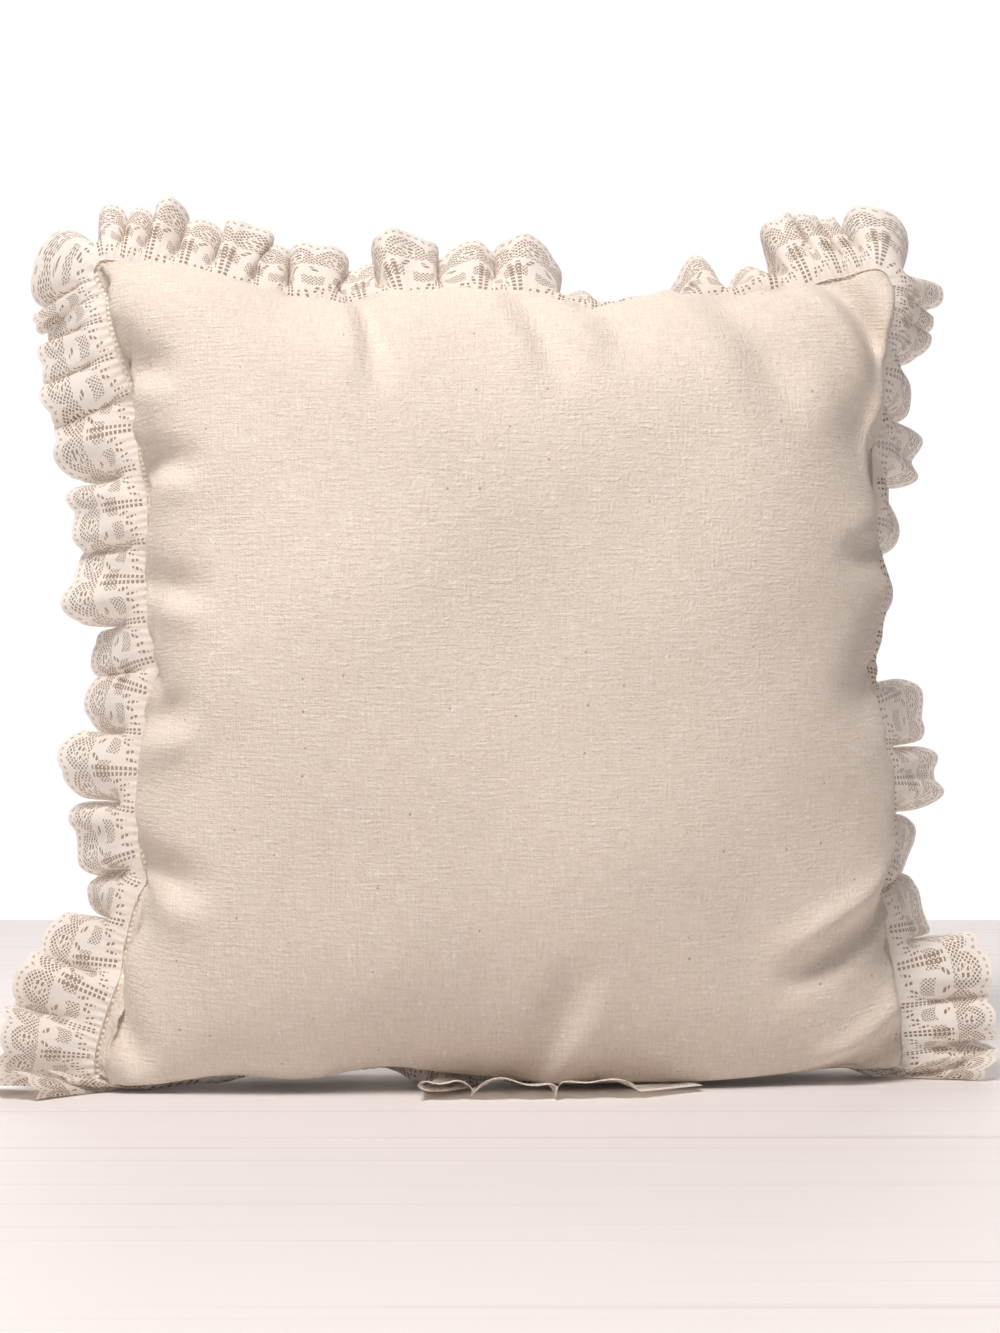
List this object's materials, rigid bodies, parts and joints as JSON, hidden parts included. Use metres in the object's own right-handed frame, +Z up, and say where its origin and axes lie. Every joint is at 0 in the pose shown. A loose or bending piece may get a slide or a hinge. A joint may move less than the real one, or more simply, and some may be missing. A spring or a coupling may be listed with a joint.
{
  "type": "ring bearer pillow",
  "caption": "Plump square cloth pillow with a gathered scalloped lace ruffle round its seam, for carrying wedding rings; stands on its lower edge.",
  "frame": {"origin": "middle of the pillow's footprint box, on the surface it stands on", "axes": "+X across the pillow to the right as seen from its front, -Y towards the front, +Z up"},
  "size_m": [0.3208, 0.0876, 0.2849],
  "materials": {
    "muslin": "matte",
    "fibre": "matte",
    "heading": "matte",
    "lace": "matte",
    "thread": "matte"
  },
  "bodies": {
    "root": {"front_panel": "muslin", "back_panel": "muslin", "fibre_filling": "fibre", "ruffle_heading": "heading", "lace_ruffle": "lace", "seam_needle_thread": "thread", "seam_bobbin_thread": "thread", "gathering_thread": "thread", "closing_thread": "thread"}
  },
  "joints": []
}
